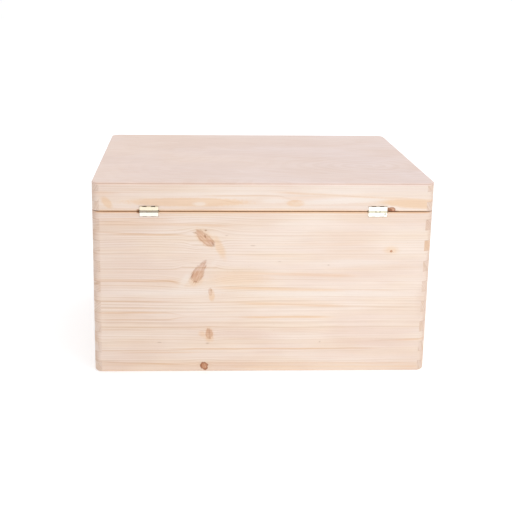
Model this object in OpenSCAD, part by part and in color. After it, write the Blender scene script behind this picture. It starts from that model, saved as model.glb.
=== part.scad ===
// Pine toy box with a hinged lid, in millimetres.
// Origin: bottom centre of the box. +X runs along the width, the hinges are on +Y, +Z is up.

/* [Box] */
// Outside width, left to right
box_w = 400; // [240:1:600]
// Outside depth, front to back
box_d = 300; // [180:1:450]
// Overall height with the lid closed
box_h = 235; // [150:1:350]
// Thickness of the pine boards
wall_t = 9; // [7:0.5:14]
// Radius of the upright outer corners
corner_r = 10; // [6:0.5:14]
// Radius of the eased outer edge that the box stands on
foot_ease = 2; // [0.5:0.5:3]
// Radius of the sanded edges along the seam between body and lid
rim_ease = 0.4; // [0.2:0.1:1]

/* [Corner joints] */
// Height of one finger
finger_h = 12.7; // [8:0.1:20]
// Height lost when the lid is sawn off the glued box and both cuts are sanded
saw_loss = 4.8; // [1:0.1:6]

/* [Lid] */
// Height of the lid, from its lower edge to its top face
lid_h = 34; // [25:1:60]
// Height of the gap between body and lid when closed
seam_gap = 1; // [0.5:0.1:1.5]
// Thickness of the plywood on top of the lid
lid_ply_t = 3; // [2:0.5:6]
// Radius of the eased upper edge of the lid
lid_ease = 1.5; // [0.5:0.25:2]

/* [Bottom] */
// Thickness of the bottom plywood
bottom_ply_t = 4; // [3:0.5:6]
// Thickness of the wall left outside the rebate for the bottom
rebate_lip = 4; // [3:0.5:6]
// Radius that the cutter leaves in the corners of the rebate
rebate_r = 8; // [5:0.5:12]
// Clearance between the edge of the bottom and the rebate
bottom_clearance = 0.25; // [0.1:0.05:0.5]

/* [Hand holes] */
// Length of a hand hole, end to end
hand_l = 90; // [75:1:110]
// Height of a hand hole
hand_h = 28; // [22:1:35]
// Distance from the rim of the body down to the middle of a hand hole
hand_drop = 50; // [35:1:70]
// Radius of the eased edges of a hand hole
hand_ease = 2.5; // [1:0.5:4]

/* [Hinges] */
// Distance from the side of the box to the middle of a hinge
hinge_inset = 66.5; // [30:0.5:90]
// Width of a hinge, along its pin
hinge_w = 21.4; // [16:0.1:32]
// Thickness of the sheet brass
sheet_t = 1.2; // [0.8:0.1:1.5]
// Radius of the hinge pin
pin_r = 0.75; // [0.6:0.05:1]
// Radial clearance between pin and knuckle
pin_clearance = 0.04; // [0.02:0.01:0.08]
// Outside radius of a knuckle
knuckle_r = 1.25; // [1.1:0.05:1.6]
// Width of the middle knuckle
mid_knuckle_w = 4.8; // [3:0.1:8]
// Gap between neighbouring knuckles
knuckle_gap = 0.1; // [0.05:0.05:0.3]
// Height from the pin's axis to the inner face of a tongue
tongue_rise = 5; // [4:0.1:7]
// Width of each window that splits a tongue into prongs
window_w = 5.1; // [3:0.1:6]
// Height of the bend that is left standing at each window
window_lip = 0.6; // [0.1:0.1:1]
// Opening angle at which the two leaves stop each other, in degrees
stop_angle = 95; // [90:1:110]
// Height of the barbs that grip the kerf
barb_h = 0.3; // [0.1:0.05:0.5]
// Thickness of wood left behind the bottom of a kerf
kerf_backing = 1.8; // [1:0.1:3]
// Clearance between the tip of a tongue and the bottom of its kerf
kerf_end_clearance = 0.7; // [0.3:0.1:1.5]

/* [Hidden] */

// Part to draw on its own, or all of them

// Length by which cutters run past the faces that they cut
over = 1;

// Levels
body_h = box_h - lid_h - seam_gap;
lid_z = box_h - lid_h;
ply_z = box_h - lid_ply_t;
pin_y = box_d / 2;
pin_z = body_h + seam_gap / 2;

// Finger joints: odd rows belong to the front and back, even rows to the sides
finger_rows = ceil((box_h + saw_loss) / finger_h);
side_rows = 0;
end_rows = 1;

// Hinges
hinge_x = box_w / 2 - hinge_inset;
knuckle_w = (hinge_w - mid_knuckle_w) / 2 - knuckle_gap;
mid_knuckle_x = knuckle_w + knuckle_gap;
knuckle_play = 0.1;
stop_slack = 0.1;
land_angle = stop_angle / 2 + stop_slack;
kerf_depth = wall_t - kerf_backing;
tongue_reach = kerf_depth - kerf_end_clearance;
kerf_h = sheet_t + barb_h;
kerf_side_clearance = 0.3;
prong_w = (hinge_w - mid_knuckle_w - 2 * window_w) / 2;
barb_l = tongue_reach / 4;
notch_clearance = 0.4;
notch_over = 1.5;
head_r = pin_r + 0.3;
head_h = 0.4;

// Colours
pine = [0.93, 0.82, 0.70];
pine_rail = [0.92, 0.81, 0.70];
plywood = [0.90, 0.80, 0.72];
brass = [0.88, 0.78, 0.52];
$fn = 96;

// ---- Rounded shapes ------------------------------------------------------------------------

// Plan of the box: a rectangle with round corners
module plan(w, d, r) {
    square([w - 2 * r, d], center = true);
    square([w, d - 2 * r], center = true);
    for (x = [-1, 1])
        for (y = [-1, 1])
            translate([x * (w / 2 - r), y * (d / 2 - r)])
                circle(r);
}

// Wood that a round edge leaves out of a square corner
module edge_waste(r) {
    difference() {
        translate([-over, -over])
            square(r + over);
        translate([r, r])
            circle(r);
    }
}

// Cutter that eases the lower outside edge of a block with round corners
module lower_edge_cutter(w, d, corner, r) {
    for (side = [0, 1]) {
        mirror([side, 0, 0])
            translate([-w / 2, d / 2 - corner, 0])
                rotate([90, 0, 0])
                    linear_extrude(d - 2 * corner)
                        edge_waste(r);
        mirror([0, side, 0])
            translate([-w / 2 + corner, -d / 2, 0])
                rotate([90, 0, 90])
                    linear_extrude(w - 2 * corner)
                        edge_waste(r);
    }
    for (x = [0, 1])
        for (y = [0, 1])
            mirror([x, 0, 0])
                mirror([0, y, 0])
                    translate([w / 2 - corner, d / 2 - corner, 0])
                        rotate_extrude(angle = 90)
                            translate([corner, 0])
                                mirror([1, 0])
                                    edge_waste(r);
}

// Cutter that eases the lower inside edge of the four walls
module inner_edge_cutter(w, d, r) {
    for (side = [0, 1]) {
        mirror([side, 0, 0])
            translate([w / 2, d / 2, 0])
                rotate([90, 0, 0])
                    linear_extrude(d)
                        edge_waste(r);
        mirror([0, side, 0])
            translate([-w / 2, d / 2, 0])
                rotate([90, 0, 90])
                    linear_extrude(w)
                        edge_waste(r);
    }
}

// Cutter for both edges of a rim that faces down
module rim_cutter() {
    lower_edge_cutter(box_w, box_d, corner_r, rim_ease);
    inner_edge_cutter(box_w - 2 * wall_t, box_d - 2 * wall_t, rim_ease);
}

// The solid outline of the body, with its foot and its rim eased
module body_outline() {
    difference() {
        linear_extrude(body_h)
            plan(box_w, box_d, corner_r);
        lower_edge_cutter(box_w, box_d, corner_r, foot_ease);
        translate([0, 0, body_h])
            mirror([0, 0, 1])
                rim_cutter();
    }
}

// The solid outline of the lid frame, with its rim eased
module lid_outline() {
    translate([0, 0, lid_z])
        difference() {
            linear_extrude(ply_z - lid_z)
                plan(box_w, box_d, corner_r);
            rim_cutter();
        }
}

// ---- Boards --------------------------------------------------------------------------------

// Face of a board whose fingers reach the outside on every second row.
// Body and lid are glued up as one box and then sawn apart, so the lid's rows lie lower by the loss.
module fingered_face(length, z0, z1, first_row) {
    drop = z0 >= lid_z ? saw_loss - seam_gap : 0;
    translate([-length / 2 + wall_t, z0])
        square([length - 2 * wall_t, z1 - z0]);
    for (row = [first_row : 2 : finger_rows]) {
        low = max(row * finger_h - drop, z0);
        high = min((row + 1) * finger_h - drop, z1);
        if (high > low)
            translate([-length / 2, low])
                square([length, high - low]);
    }
}

// Board on the back of the box, from z0 to z1
module back_board(z0, z1) {
    translate([0, box_d / 2, 0])
        rotate([90, 0, 0])
            linear_extrude(wall_t)
                fingered_face(box_w, z0, z1, end_rows);
}

// Board on the right side of the box, from z0 to z1
module side_board(z0, z1) {
    translate([box_w / 2 - wall_t, 0, 0])
        rotate([90, 0, 90])
            linear_extrude(wall_t)
                fingered_face(box_d, z0, z1, side_rows);
}

// Rebate in the foot of the walls that takes the bottom
module rebate() {
    translate([0, 0, -over])
        linear_extrude(bottom_ply_t + over)
            plan(box_w - 2 * rebate_lip, box_d - 2 * rebate_lip, rebate_r);
}

// ---- Hand hole -----------------------------------------------------------------------------

// Half of a hand hole's section: across the wall, and out from the middle of the hole
module hand_hole_section() {
    translate([0, -over])
        square([hand_h / 2, wall_t + 2 * over]);
    translate([hand_h / 2, 0])
        edge_waste_to_left(hand_ease);
    translate([hand_h / 2, wall_t])
        mirror([0, 1])
            edge_waste_to_left(hand_ease);
}

// Wood that easing takes off a corner which lies at the origin
module edge_waste_to_left(r) {
    difference() {
        translate([0, -over])
            square([r, r + over]);
        translate([r, r])
            circle(r);
    }
}

// Cutter for the hand hole, lying along Y and centred on the inner face of the right side
module hand_hole() {
    straight = hand_l - hand_h;
    translate([box_w / 2 - wall_t, 0, body_h - hand_drop])
        rotate([0, 90, 0]) {
            for (y = [-1, 1])
                translate([0, y * straight / 2, 0])
                    rotate_extrude()
                        hand_hole_section();
            for (side = [0, 1])
                mirror([side, 0, 0])
                    translate([0, straight / 2, 0])
                        rotate([90, 0, 0])
                            linear_extrude(straight)
                                hand_hole_section();
        }
}

// ---- Hinge ---------------------------------------------------------------------------------
// A hinge is drawn around its pin: X along the pin from the hinge's left end,
// Y out of the back of the box, Z up. The lid's leaf is the upper one.

// Puts a hinge in place, side is -1 for the left one and 1 for the right one
module at_hinge(side) {
    translate([side * hinge_x - hinge_w / 2, pin_y, pin_z])
        children();
}

// Turns a section drawn as (out, up) so that it runs along the pin
module along_pin(x, length) {
    translate([x, 0, 0])
        rotate([90, 0, 90])
            linear_extrude(length)
                children();
}

// One barb, steep on the side that faces out of the kerf
module barb() {
    polygon([[0, 0], [0, barb_h], [-barb_l, 0]]);
}

// Section of a leaf: stop land, plate, bend and tongue with its barbs
module leaf_section() {
    polygon([
        [0, 0],
        [sheet_t, sheet_t * tan(land_angle)],
        [sheet_t, tongue_rise],
        [0, tongue_rise]
    ]);
    translate([0, tongue_rise])
        intersection() {
            circle(sheet_t);
            square(sheet_t);
        }
    translate([-tongue_reach, tongue_rise])
        square([tongue_reach, sheet_t]);
    for (step = [1, 2])
        translate([-step * barb_l, tongue_rise + sheet_t])
            barb();
}

// Windows that split the tongue into three prongs
module leaf_windows() {
    for (x = [prong_w, hinge_w - prong_w - window_w])
        translate([x, -tongue_reach - over, tongue_rise + window_lip])
            cube([window_w, tongue_reach + sheet_t + 2 * over, sheet_t - window_lip + barb_h + over]);
}

// A knuckle of radius r that starts at x
module knuckle(x, length, r) {
    along_pin(x, length)
        circle(r);
}

// Leaf of the lid: it carries the middle knuckle
module upper_leaf() {
    difference() {
        along_pin(0, hinge_w)
            leaf_section();
        leaf_windows();
        knuckle(-over, over + mid_knuckle_x, knuckle_r + knuckle_play);
        knuckle(mid_knuckle_x + mid_knuckle_w, mid_knuckle_x + over, knuckle_r + knuckle_play);
        pin_bore();
    }
    difference() {
        knuckle(mid_knuckle_x, mid_knuckle_w, knuckle_r);
        pin_bore();
    }
}

// Leaf of the body: it carries the two outer knuckles
module lower_leaf() {
    difference() {
        mirror([0, 0, 1])
            along_pin(0, hinge_w)
                leaf_section();
        mirror([0, 0, 1])
            leaf_windows();
        knuckle(knuckle_w, mid_knuckle_w + 2 * knuckle_gap, knuckle_r + knuckle_play);
        pin_bore();
    }
    for (x = [0, hinge_w - knuckle_w])
        difference() {
            knuckle(x, knuckle_w, knuckle_r);
            pin_bore();
        }
}

// Bore through all the knuckles
module pin_bore() {
    knuckle(-over, hinge_w + 2 * over, pin_r + pin_clearance);
}

// Pin with a peened head on each end
module hinge_pin() {
    knuckle(0, hinge_w, pin_r);
    knuckle(-head_h, head_h, head_r);
    knuckle(hinge_w, head_h, head_r);
}

// Kerf for the tongue of the lid's leaf, and the notch that the knuckles lie in
module hinge_cut() {
    kerf_l = hinge_w + 2 * kerf_side_clearance;
    translate([-kerf_side_clearance, -kerf_depth, tongue_rise])
        cube([kerf_l, kerf_depth + over, kerf_h]);
    knuckle(-notch_over, hinge_w + 2 * notch_over, knuckle_r + notch_clearance);
}

// ---- Body parts ----------------------------------------------------------------------------

module back_panel() {
    color(pine)
        difference() {
            intersection() {
                body_outline();
                back_board(0, body_h);
            }
            rebate();
            for (side = [-1, 1])
                at_hinge(side)
                    mirror([0, 0, 1])
                        hinge_cut();
        }
}

module front_panel() {
    color(pine)
        difference() {
            intersection() {
                body_outline();
                mirror([0, 1, 0])
                    back_board(0, body_h);
            }
            rebate();
        }
}

module side_panel() {
    difference() {
        intersection() {
            body_outline();
            side_board(0, body_h);
        }
        rebate();
        hand_hole();
    }
}

module left_panel() {
    color(pine)
        mirror([1, 0, 0])
            side_panel();
}

module right_panel() {
    color(pine)
        side_panel();
}

module bottom_panel() {
    inset = 2 * (rebate_lip + bottom_clearance);
    color(plywood)
        linear_extrude(bottom_ply_t)
            plan(box_w - inset, box_d - inset, rebate_r - bottom_clearance);
}

// ---- Lid parts -----------------------------------------------------------------------------

module lid_back_rail() {
    color(pine_rail)
        difference() {
            intersection() {
                lid_outline();
                back_board(lid_z, ply_z);
            }
            for (side = [-1, 1])
                at_hinge(side)
                    hinge_cut();
        }
}

module lid_front_rail() {
    color(pine_rail)
        intersection() {
            lid_outline();
            mirror([0, 1, 0])
                back_board(lid_z, ply_z);
        }
}

module lid_side_rail() {
    intersection() {
        lid_outline();
        side_board(lid_z, ply_z);
    }
}

module lid_left_rail() {
    color(pine_rail)
        mirror([1, 0, 0])
            lid_side_rail();
}

module lid_right_rail() {
    color(pine_rail)
        lid_side_rail();
}

module lid_top_panel() {
    color(plywood)
        translate([0, 0, box_h])
            mirror([0, 0, 1])
                difference() {
                    linear_extrude(lid_ply_t)
                        plan(box_w, box_d, corner_r);
                    lower_edge_cutter(box_w, box_d, corner_r, lid_ease);
                }
}

// ---- Hinge parts ---------------------------------------------------------------------------

module left_hinge_body_leaf() {
    color(brass)
        at_hinge(-1)
            lower_leaf();
}

module right_hinge_body_leaf() {
    color(brass)
        at_hinge(1)
            lower_leaf();
}

module left_hinge_lid_leaf() {
    color(brass)
        at_hinge(-1)
            upper_leaf();
}

module right_hinge_lid_leaf() {
    color(brass)
        at_hinge(1)
            upper_leaf();
}

module left_hinge_pin() {
    color(brass)
        at_hinge(-1)
            hinge_pin();
}

module right_hinge_pin() {
    color(brass)
        at_hinge(1)
            hinge_pin();
}

back_panel();
front_panel();
left_panel();
right_panel();
bottom_panel();
lid_back_rail();
lid_front_rail();
lid_left_rail();
lid_right_rail();
lid_top_panel();
left_hinge_body_leaf();
right_hinge_body_leaf();
left_hinge_lid_leaf();
right_hinge_lid_leaf();
left_hinge_pin();
right_hinge_pin();
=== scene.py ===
# %% [markdown]
# # A pine toy box with a hinged lid
# The box is a small chest: four pine boards with finger joints, a plywood bottom, and a lid that is
# a low pine frame with a sheet of plywood on top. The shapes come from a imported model, so this lesson
# is about what wood and brass look like: growth rings that run through each board, knots that push
# the grain aside, layered plywood edges and bright pressed metal.

# %% Load the parts
import math
import bpy
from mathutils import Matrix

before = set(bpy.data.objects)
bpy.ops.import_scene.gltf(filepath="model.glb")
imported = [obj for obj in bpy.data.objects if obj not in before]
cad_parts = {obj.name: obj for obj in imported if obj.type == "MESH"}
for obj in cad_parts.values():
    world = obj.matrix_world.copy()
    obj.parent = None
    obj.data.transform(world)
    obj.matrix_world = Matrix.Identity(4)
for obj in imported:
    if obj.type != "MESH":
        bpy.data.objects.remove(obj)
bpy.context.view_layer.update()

scene = bpy.context.scene
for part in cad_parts.values():
    part.select_set(False)

# %% [markdown]
# ## Camera
# The view is from behind and a little above, almost square to the back of the box, through a fairly
# long lens. The lens could be turned down at the box, but then its upright edges would lean. So it is
# shifted a little as well, which keeps those edges almost upright.

# %% Camera
lens = bpy.data.cameras.new("camera")
lens.lens = 63.0
lens.sensor_width = 36.0
lens.shift_x = 0.0664
lens.shift_y = -0.1680
lens.clip_start = 0.01
camera = bpy.data.objects.new("camera", lens)
camera.location = (0.08635, 1.15384, 0.47769)
camera.rotation_euler = [math.radians(angle) for angle in (77.222, -0.637, 178.030)]
scene.collection.objects.link(camera)
scene.camera = camera
print("camera at", tuple(round(v, 3) for v in camera.location))

# %% [markdown]
# ## Studio
# Pale wood on a white floor needs soft light from all round. One strong lamp would give hard shadows,
# so a white sky does most of the work. One soft box stands low on the hinge side, nearer one end, so
# the back of the box is a little brighter there. The sky on the other side is dimmer and cooler. The
# floor is a plain pale sheet.
#
# Materials are built from nodes. Short helpers come first, so that each step of a pattern takes one
# line.

# %% Small helpers for nodes
def socket_value(tree, socket, value):
    """Joins a socket to another one, or sets its plain value."""
    if isinstance(value, bpy.types.NodeSocket):
        tree.links.new(value, socket)
    else:
        socket.default_value = value


def add_node(tree, kind, inputs=None, **settings):
    """A node with its settings and its inputs given by name or number."""
    node = tree.nodes.new(kind)
    for name, value in settings.items():
        setattr(node, name, value)
    for name, value in (inputs or {}).items():
        socket_value(tree, node.inputs[name], value)
    return node


def maths(tree, operation, a, b=0.0, c=0.0):
    """One step of arithmetic."""
    return add_node(tree, "ShaderNodeMath", {0: a, 1: b, 2: c}, operation=operation).outputs[0]


def vector_maths(tree, operation, a, b=(0.0, 0.0, 0.0), output=0):
    """One step of arithmetic on vectors."""
    node = add_node(tree, "ShaderNodeVectorMath", {0: a, 1: b}, operation=operation)
    return node.outputs[output]


def ramp(tree, value, low, high, start=0.0, end=1.0, kind="SMOOTHSTEP"):
    """Turns a range of values into another range, held at both ends."""
    inputs = {"Value": value, "From Min": low, "From Max": high, "To Min": start, "To Max": end}
    return add_node(tree, "ShaderNodeMapRange", inputs, interpolation_type=kind, clamp=True).outputs[0]


def blend_colours(tree, factor, a, b, mode="MIX"):
    """Mixes two colours."""
    node = add_node(tree, "ShaderNodeMix", {}, data_type="RGBA", blend_type=mode)
    socket_value(tree, node.inputs["Factor"], factor)
    socket_value(tree, node.inputs[6], a)
    socket_value(tree, node.inputs[7], b)
    return node.outputs[2]


def noise(tree, vector, scale, detail=2.0, roughness=0.5, distortion=0.0):
    """Smooth noise between about 0 and 1."""
    inputs = {"Vector": vector, "Scale": scale, "Detail": detail, "Roughness": roughness,
              "Distortion": distortion}
    return add_node(tree, "ShaderNodeTexNoise", inputs).outputs[0]


def combine(tree, x=0.0, y=0.0, z=0.0):
    """A vector from three values."""
    return add_node(tree, "ShaderNodeCombineXYZ", {0: x, 1: y, 2: z}).outputs[0]


def split(tree, vector):
    """The three values of a vector."""
    return add_node(tree, "ShaderNodeSeparateXYZ", {0: vector}).outputs


print("helpers for single nodes are ready")

# %% Helpers for node groups and materials
KINDS = {"value": "NodeSocketFloat", "vector": "NodeSocketVector", "colour": "NodeSocketColor"}


def new_group(name, inputs, outputs):
    """An empty shader group with named sockets. Returns the group, its inputs and its output node."""
    group = bpy.data.node_groups.new(name, "ShaderNodeTree")
    for label, kind, value in inputs:
        socket = group.interface.new_socket(label, in_out="INPUT", socket_type=KINDS[kind])
        socket.default_value = value
    for label, kind in outputs:
        group.interface.new_socket(label, in_out="OUTPUT", socket_type=KINDS[kind])
    given = group.nodes.new("NodeGroupInput").outputs
    made = group.nodes.new("NodeGroupOutput").inputs
    return group, given, made


def use_group(tree, group, inputs):
    """Places a group in a tree and sets its inputs by name."""
    node = tree.nodes.new("ShaderNodeGroup")
    node.node_tree = group
    for name, value in inputs.items():
        socket_value(tree, node.inputs[name], value)
    return node.outputs


def new_material(name):
    """A material with an empty Principled BSDF. Returns it, its tree and the shader."""
    material = bpy.data.materials.new(name)
    material.use_nodes = True
    tree = material.node_tree
    return material, tree, tree.nodes["Principled BSDF"]


print("helpers for groups and materials are ready")

# %% Floor
FLOOR_SIZE = 14.0

bpy.ops.mesh.primitive_plane_add(size=FLOOR_SIZE, location=(0.0, 0.0, 0.0))
floor = bpy.context.active_object
floor.name = "floor"
floor_paper, tree, shader = new_material("floor_paper")
shader.inputs["Roughness"].default_value = 0.9
paper_mottle = noise(tree, add_node(tree, "ShaderNodeTexCoord").outputs["Object"], 2.0)
paper = blend_colours(tree, paper_mottle, (0.93, 0.93, 0.93, 1.0), (0.95, 0.95, 0.95, 1.0))
socket_value(tree, shader.inputs["Base Color"], paper)
shader.inputs["Emission Color"].default_value = (1.0, 1.0, 1.0, 1.0)
shader.inputs["Emission Strength"].default_value = 0.25
floor.data.materials.append(floor_paper)
print("floor", FLOOR_SIZE, "m across")

# %% Sky
SKY_STRENGTH = 1.02
DIM_SIDE = (0.56, 0.635, 0.73)

sky = bpy.data.worlds.new("studio")
sky.use_nodes = True
tree = sky.node_tree
towards = split(tree, add_node(tree, "ShaderNodeTexCoord").outputs["Generated"])[0]
dim_side = [ramp(tree, towards, 0.1, 1.0, 1.0, share) for share in DIM_SIDE]
socket_value(tree, tree.nodes["Background"].inputs["Color"], combine(tree, *dim_side))
tree.nodes["Background"].inputs["Strength"].default_value = SKY_STRENGTH
scene.world = sky
scene.view_settings.view_transform = "Standard"
print("sky at strength", SKY_STRENGTH)


# %% Soft box
def soft_box(name, place, aim, size, watts):
    """A square area light that faces a point."""
    light = bpy.data.lights.new(name, "AREA")
    light.shape = "SQUARE"
    light.size = size
    light.energy = watts
    lamp = bpy.data.objects.new(name, light)
    lamp.location = place
    direction = lamp.location - type(lamp.location)(aim)
    lamp.rotation_euler = direction.to_track_quat("Z", "Y").to_euler()
    scene.collection.objects.link(lamp)
    return lamp


key = soft_box("key", place=(-0.12, 0.46, 0.16), aim=(-0.10, 0.15, 0.11), size=0.3, watts=0.31)
key.data.color = (0.72, 0.89, 1.0)
print("soft box at", tuple(round(v, 2) for v in key.location))

# %% [markdown]
# ## Growth rings
# A board is a slice of a tree, and the rings go right through it. Lines could be drawn on each face,
# but they would not meet at the edges. So the rings are made in space: every point has a distance
# from the heart of the log, and that distance decides whether it is pale spring wood or darker summer
# wood. The faces then show long lines and the board ends show short arcs that meet them, with no
# seam. The heart may lie outside the board.
#
# Patterns on wood are easier to think about in millimetres, so the sizes that they need are given
# once, in millimetres.

# %% Sizes of the box in millimetres
MM = 1000.0
HALF_LENGTH = 200.0
HALF_DEPTH = 150.0
WALL = 9.0
print("box", 2 * HALF_LENGTH, "by", 2 * HALF_DEPTH, "mm, walls", WALL, "mm")

# %% Growth ring group
rings, given, made = new_group(
    "Growth rings",
    [("Board", "vector", (0, 0, 0)), ("Bend", "value", 0.0), ("Heart depth", "value", 0.0),
     ("Heart height", "value", -100.0), ("Ring width", "value", 3.0), ("Waviness", "value", 2.0),
     ("Seed", "value", 0.0)],
    [("Summer wood", "value"), ("Ring tone", "value")],
)
x, y, z = split(rings, given["Board"])
sway_at = combine(rings, maths(rings, "MULTIPLY", x, 0.006), maths(rings, "MULTIPLY", y, 0.012),
                  maths(rings, "MULTIPLY_ADD", z, 0.012, given["Seed"]))
sway = maths(rings, "SUBTRACT", noise(rings, sway_at, 1.0, detail=3.0, roughness=0.45), 0.5)
height = maths(rings, "ADD", z, given["Bend"])
height = maths(rings, "MULTIPLY_ADD", sway, given["Waviness"], height)
from_heart = combine(rings, 0.0, maths(rings, "SUBTRACT", y, given["Heart depth"]),
                     maths(rings, "SUBTRACT", height, given["Heart height"]))
distance = vector_maths(rings, "LENGTH", from_heart, output="Value")
weather_at = combine(rings, given["Seed"], maths(rings, "MULTIPLY", distance, 0.05))
weather = maths(rings, "SUBTRACT", noise(rings, weather_at, 1.0, detail=2.0), 0.5)
years = maths(rings, "DIVIDE", distance, given["Ring width"])
years = maths(rings, "MULTIPLY_ADD", weather, 9.0, years)
year = maths(rings, "FLOOR", years)
season = maths(rings, "FRACT", years)
late = ramp(rings, season, 0.35, 0.86)
summer = maths(rings, "MULTIPLY", late, ramp(rings, season, 0.90, 1.0, 1.0, 0.0))
tone_at = combine(rings, year, given["Seed"])
tone = add_node(rings, "ShaderNodeTexWhiteNoise", {"Vector": tone_at}, noise_dimensions="2D")
socket_value(rings, made["Summer wood"], summer)
socket_value(rings, made["Ring tone"], tone.outputs[0])
print("group:", rings.name)

# %% [markdown]
# ## Knots
# A knot is where a branch left the trunk. Its own wood is darker and has a dark rim, and the grain of
# the board flows round it as water flows round a stone. A dark spot alone would look like a stain,
# because the rings would run straight through it. So the group gives both: a mask for the knot and a
# bend that is added to the height before the rings are worked out. Groups are chained, so a board can
# have as many knots as it needs.

# %% Turned ellipse, shared by knots and marks
def local_frame(tree, given, slant=False):
    """Board position measured from a centre, along and across a turned long axis."""
    x, y, z = split(tree, given["Board"])
    dx = maths(tree, "SUBTRACT", x, given["Along"])
    if slant:
        depth = maths(tree, "SUBTRACT", y, given["Face depth"])
        dx = maths(tree, "SUBTRACT", dx, maths(tree, "MULTIPLY", depth, given["Slant"]))
    dz = maths(tree, "SUBTRACT", z, given["Up"])
    cosine = maths(tree, "COSINE", given["Turn"])
    sine = maths(tree, "SINE", given["Turn"])
    u = maths(tree, "ADD", maths(tree, "MULTIPLY", dx, cosine), maths(tree, "MULTIPLY", dz, sine))
    v = maths(tree, "SUBTRACT", maths(tree, "MULTIPLY", dz, cosine), maths(tree, "MULTIPLY", dx, sine))
    return dx, dz, u, v


PLACE = [("Board", "vector", (0, 0, 0)), ("Along", "value", 0.0), ("Up", "value", 0.0),
         ("Turn", "value", 0.0), ("Half length", "value", 5.0), ("Half width", "value", 3.0)]
print("sockets that place an oval:", [label for label, kind, value in PLACE])

# %% Knot group
knot, given, made = new_group(
    "Knot",
    PLACE + [("Point", "value", 0.0), ("Darkness", "value", 0.6), ("Slant", "value", 0.3),
             ("Face depth", "value", 0.0), ("Push", "value", 1.0), ("Ragged", "value", 0.5),
             ("Bend in", "value", 0.0), ("Knot in", "value", 0.0), ("Rim in", "value", 0.0)],
    [("Bend", "value"), ("Knot", "value"), ("Rim", "value")],
)
dx, dz, u, v = local_frame(knot, given, slant=True)
u_share = maths(knot, "DIVIDE", u, given["Half length"])
taper = maths(knot, "SUBTRACT", 1.0, maths(knot, "MULTIPLY", u_share, given["Point"]))
taper = maths(knot, "MAXIMUM", taper, 0.15)
v_share = maths(knot, "DIVIDE", maths(knot, "DIVIDE", v, given["Half width"]), taper)
fibre_at = combine(knot, maths(knot, "MULTIPLY", u, 0.10), maths(knot, "MULTIPLY", v, 0.75),
                   given["Along"])
fibre = noise(knot, fibre_at, 1.0, detail=3.0, roughness=0.6)
reach = vector_maths(knot, "LENGTH", combine(knot, u_share, v_share), output="Value")
reach = maths(knot, "MULTIPLY_ADD", maths(knot, "SUBTRACT", given["Ragged"], 0.5), 0.45, reach)
reach = maths(knot, "MULTIPLY_ADD", maths(knot, "SUBTRACT", fibre, 0.5), 0.9, reach)
inside = ramp(knot, reach, 0.72, 1.12, 1.0, 0.0)
inside = maths(knot, "MULTIPLY", inside, ramp(knot, fibre, 0.36, 0.62, 1.3, 0.6))
inside = maths(knot, "MULTIPLY", inside, given["Darkness"])
rim = maths(knot, "MULTIPLY", ramp(knot, reach, 0.62, 0.92), ramp(knot, reach, 0.96, 1.15, 1.0, 0.0))
rim = maths(knot, "MULTIPLY", rim, maths(knot, "MULTIPLY", given["Darkness"], given["Darkness"]))
flow_x = maths(knot, "DIVIDE", dx, maths(knot, "MULTIPLY_ADD", given["Half length"], 1.6, 2.0))
flow_z = maths(knot, "DIVIDE", dz, maths(knot, "MULTIPLY_ADD", given["Half length"], 0.9, 1.0))
flow = vector_maths(knot, "LENGTH", combine(knot, flow_x, flow_z), output="Value")
flow = maths(knot, "POWER", maths(knot, "MAXIMUM", flow, 0.9), 2.6)
push = maths(knot, "MULTIPLY", given["Push"], -0.75)
push = maths(knot, "MULTIPLY", maths(knot, "DIVIDE", dz, flow), push)
socket_value(knot, made["Bend"], maths(knot, "ADD", push, given["Bend in"]))
socket_value(knot, made["Knot"], maths(knot, "MAXIMUM", inside, given["Knot in"]))
socket_value(knot, made["Rim"], maths(knot, "MAXIMUM", rim, given["Rim in"]))
print("group:", knot.name)

# %% [markdown]
# ## Marks and grain lines
# Two more groups place what is particular to one board. Noise can scatter such things, but it can't
# put one where it belongs, so each has a place of its own. A mark is a soft oval: the resin halo round
# a knot, a pale spot, a fleck. A grain line is one year's summer wood that stands out from the rest.
# It starts and ends somewhere, slopes a little, and may step up or down where it passes a knot.

# %% Mark group
mark, given, made = new_group(
    "Mark", PLACE + [("Softness", "value", 0.5), ("Strength", "value", 1.0), ("Ragged", "value", 0.5),
                     ("Mark in", "value", 0.0)],
    [("Mark", "value")],
)
dx, dz, u, v = local_frame(mark, given)
oval = combine(mark, maths(mark, "DIVIDE", u, given["Half length"]),
               maths(mark, "DIVIDE", v, given["Half width"]))
reach = vector_maths(mark, "LENGTH", oval, output="Value")
reach = maths(mark, "MULTIPLY_ADD", maths(mark, "SUBTRACT", given["Ragged"], 0.5), 0.5, reach)
inner = maths(mark, "SUBTRACT", 1.0, given["Softness"])
outer = maths(mark, "ADD", 1.0, maths(mark, "MULTIPLY", given["Softness"], 0.4))
oval = maths(mark, "MULTIPLY", ramp(mark, reach, inner, outer, 1.0, 0.0), given["Strength"])
socket_value(mark, made["Mark"], maths(mark, "MAXIMUM", oval, given["Mark in"]))
print("group:", mark.name)

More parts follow.
